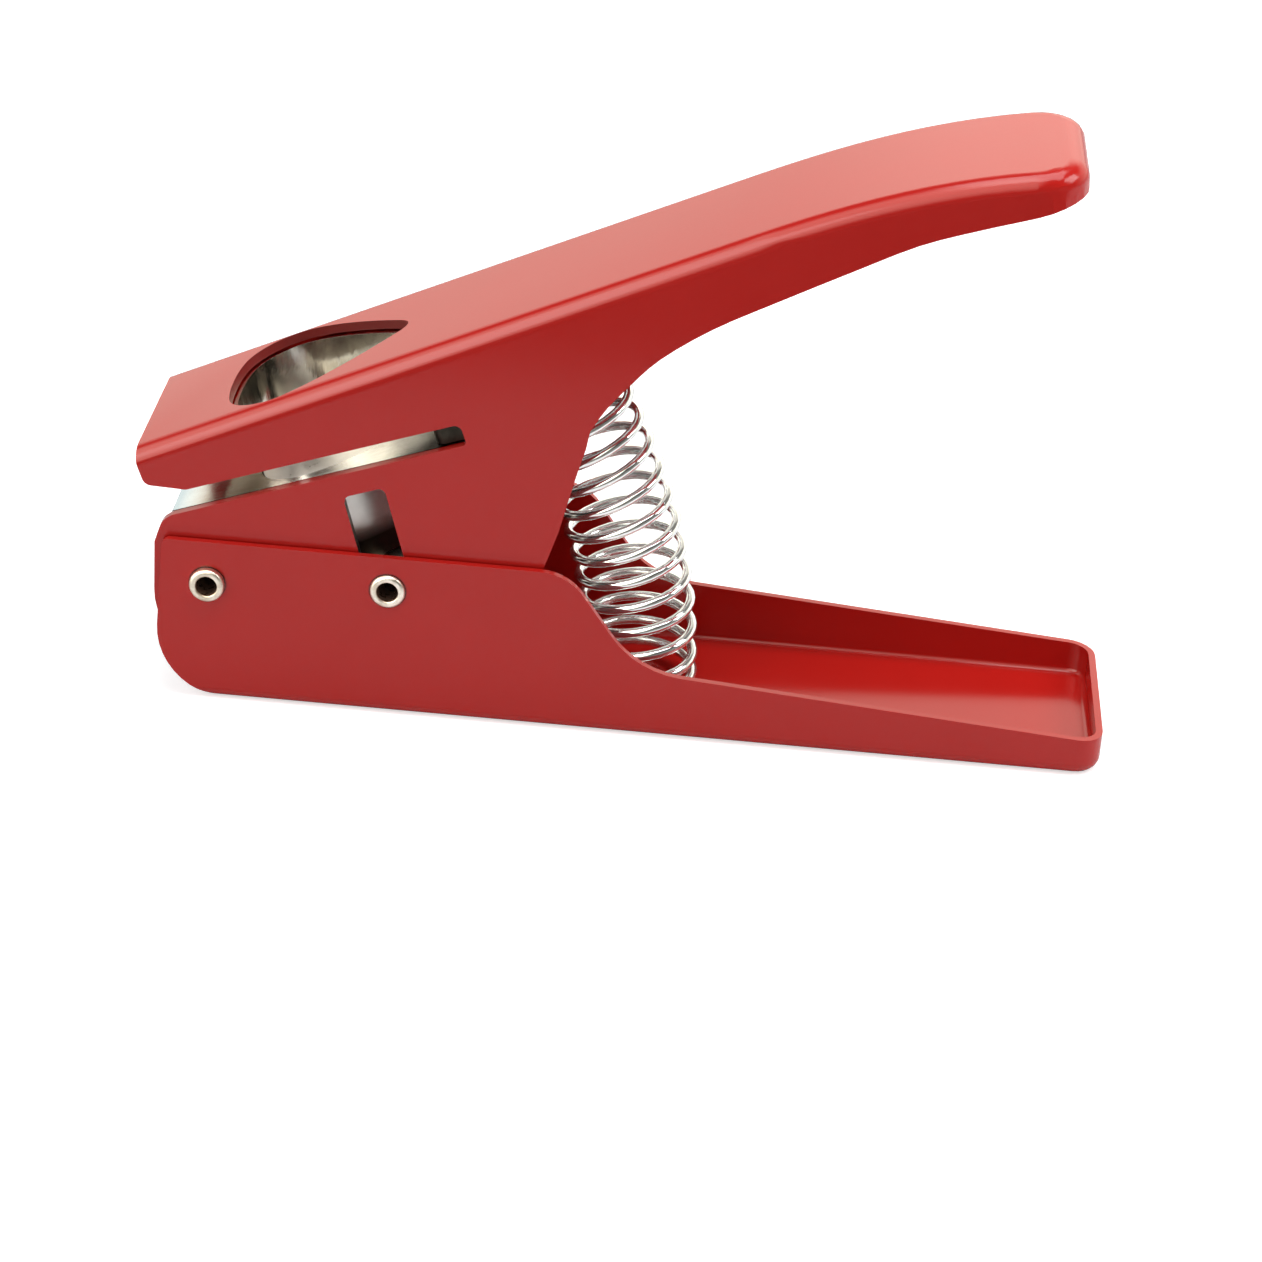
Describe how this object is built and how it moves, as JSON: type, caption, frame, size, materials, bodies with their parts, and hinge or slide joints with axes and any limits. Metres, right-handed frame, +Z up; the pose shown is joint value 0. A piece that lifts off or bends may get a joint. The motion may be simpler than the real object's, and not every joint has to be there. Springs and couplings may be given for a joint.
{
  "type": "guitar pick punch",
  "caption": "Hand-squeezed punch: red sheet-metal lever on a channel base with tray, steel die set with a pick-shaped window, and a bent compression spring.",
  "frame": {"origin": "centre of the footprint's bounding box, on the table", "axes": "+X from the nose to the grip along the tool, +Y across it to the left of someone who looks from the grip to the nose, +Z up"},
  "size_m": [0.1638, 0.039, 0.1057],
  "materials": {
    "red_paint": "satin powder coat",
    "polished_steel": "ground and polished",
    "brushed_steel": "brushed",
    "dark_steel": "oiled, dark",
    "nickel": "nickel plated",
    "spring_wire": "bright plated wire"
  },
  "bodies": {
    "base_body": {"base_channel": "red_paint", "pivot_pin": "nickel", "drive_pin": "nickel", "return_spring": "spring_wire"},
    "lever_body": {"lever_shell": "red_paint", "die_plate": "polished_steel", "guide_block": "brushed_steel", "card_stop": "dark_steel", "die_screw_left": "dark_steel", "die_screw_right": "dark_steel", "die_dowel_left": "polished_steel", "die_dowel_right": "polished_steel", "spring_seat": "nickel"},
    "punch_body": {"punch": "polished_steel"}
  },
  "joints": [
    {"name": "lever_hinge", "type": "hinge", "parent": "base_body", "child": "lever_body", "pos_m": [-0.06924, 0, 0.02186], "axis": [0, 1, 0], "range_deg": [0, 27.5], "stiffness_Nm_per_rad": 2.45, "springref_deg": -20.05, "deforming": ["return_spring"]},
    {"name": "punch_slide", "type": "slide", "parent": "lever_body", "child": "punch_body", "axis": [-0.3396, 0, 0.9406], "range_m": [0, 0.0144]}
  ],
  "couplings": [
    {"joint": "punch_slide", "follows": "lever_hinge", "m_per_rad": 0.029872}
  ]
}
